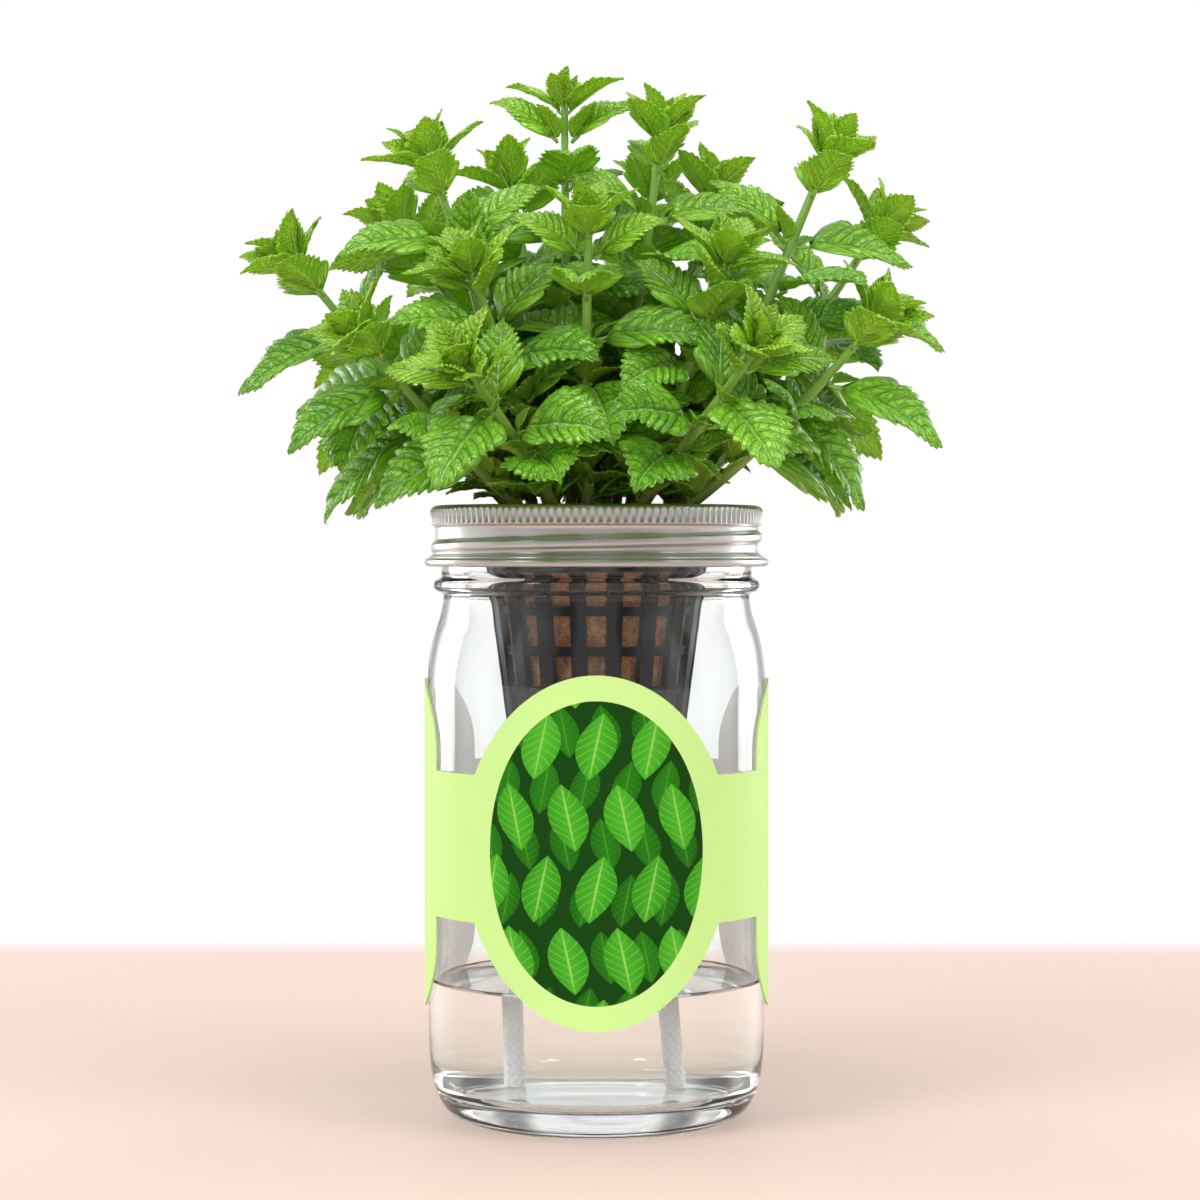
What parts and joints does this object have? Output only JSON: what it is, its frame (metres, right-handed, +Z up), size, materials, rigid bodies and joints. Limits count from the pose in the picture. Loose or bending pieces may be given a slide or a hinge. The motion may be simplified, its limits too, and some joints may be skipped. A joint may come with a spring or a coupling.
{
  "type": "hydroponic jar planter",
  "caption": "Wide mouthed glass jar with a screw band, a slotted net pot of coir hung in its mouth on a lid insert, wicks down to the water, a card sleeve and a bushy mint plant.",
  "frame": {"origin": "middle of the jar's foot ring, on the surface that the jar stands on", "axes": "+Z up along the jar's axis, +X to the right and +Y to the back, so the front oval of the sleeve faces -Y"},
  "size_m": [0.1981, 0.1702, 0.294],
  "materials": {
    "jar_glass": "clear pressed soda-lime glass, polished, faint grey-green in the edges",
    "nutrient_water": "clear still water",
    "band_metal": "satin tinplate, formed and rolled, knurled round the top",
    "insert_plastic": "black moulded plastic, fine matte",
    "pot_plastic": "charcoal moulded plastic, satin",
    "coir": "pressed coconut coir fibre and dust, rough, with dark flecks",
    "wick_cotton": "white braided cotton cord, wet below the water",
    "sleeve_card": "thin die cut card, light lime outside with a dark green leaf print in the front oval, uncoated grey white inside",
    "mint_stem": "square herb stem, light green above and browner at the foot, slightly downy",
    "mint_leaf": "fresh herb leaf with sunk veins and a toothed edge, soft satin"
  },
  "bodies": {
    "jar": {"glass_jar": "jar_glass", "nutrient_water": "nutrient_water"},
    "lid": {"lid_insert": "insert_plastic"},
    "band": {"screw_band": "band_metal"},
    "pot": {"net_pot": "pot_plastic", "wick_left": "wick_cotton", "wick_right": "wick_cotton"},
    "plant": {"coir_plug": "coir", "shoot_01_stem": "mint_stem", "shoot_02_stem": "mint_stem", "shoot_03_stem": "mint_stem", "shoot_04_stem": "mint_stem", "shoot_05_stem": "mint_stem", "shoot_06_stem": "mint_stem", "shoot_07_stem": "mint_stem", "shoot_08_stem": "mint_stem", "shoot_09_stem": "mint_stem", "shoot_10_stem": "mint_stem", "shoot_11_stem": "mint_stem", "shoot_12_stem": "mint_stem", "shoot_13_stem": "mint_stem", "shoot_14_stem": "mint_stem", "shoot_15_stem": "mint_stem", "shoot_16_stem": "mint_stem", "shoot_17_stem": "mint_stem", "shoot_18_stem": "mint_stem", "shoot_19_stem": "mint_stem", "shoot_20_stem": "mint_stem", "shoot_21_stem": "mint_stem", "shoot_22_stem": "mint_stem", "shoot_01_leaves": "mint_leaf", "shoot_02_leaves": "mint_leaf", "shoot_03_leaves": "mint_leaf", "shoot_04_leaves": "mint_leaf", "shoot_05_leaves": "mint_leaf", "shoot_06_leaves": "mint_leaf", "shoot_07_leaves": "mint_leaf", "shoot_08_leaves": "mint_leaf", "shoot_09_leaves": "mint_leaf", "shoot_10_leaves": "mint_leaf", "shoot_11_leaves": "mint_leaf", "shoot_12_leaves": "mint_leaf", "shoot_13_leaves": "mint_leaf", "shoot_14_leaves": "mint_leaf", "shoot_15_leaves": "mint_leaf", "shoot_16_leaves": "mint_leaf", "shoot_17_leaves": "mint_leaf", "shoot_18_leaves": "mint_leaf", "shoot_19_leaves": "mint_leaf", "shoot_20_leaves": "mint_leaf", "shoot_21_leaves": "mint_leaf", "shoot_22_leaves": "mint_leaf"},
    "sleeve": {"label_sleeve": "sleeve_card"}
  },
  "joints": [
    {"name": "band_turn", "type": "hinge", "parent": "lid", "child": "band", "pos_m": [0, 0, 0.163], "axis": [0, 0, 1], "range_deg": [0, 400]},
    {"name": "band_rise", "type": "slide", "parent": "jar", "child": "lid", "axis": [0, 0, 1], "range_m": [0, 0.00706]},
    {"name": "pot_lift", "type": "slide", "parent": "lid", "child": "pot", "axis": [0, 0, 1], "range_m": [0, 0.17]},
    {"name": "plug_lift", "type": "slide", "parent": "pot", "child": "plant", "axis": [0, 0, 1], "range_m": [0, 0.08]},
    {"name": "sleeve_turn", "type": "hinge", "parent": "jar", "child": "sleeve", "pos_m": [0, 0, 0.0785], "axis": [0, 0, 1], "continuous": true}
  ],
  "couplings": [
    {"joint": "band_rise", "follows": "band_turn", "m_per_rad": 0.0010106}
  ]
}
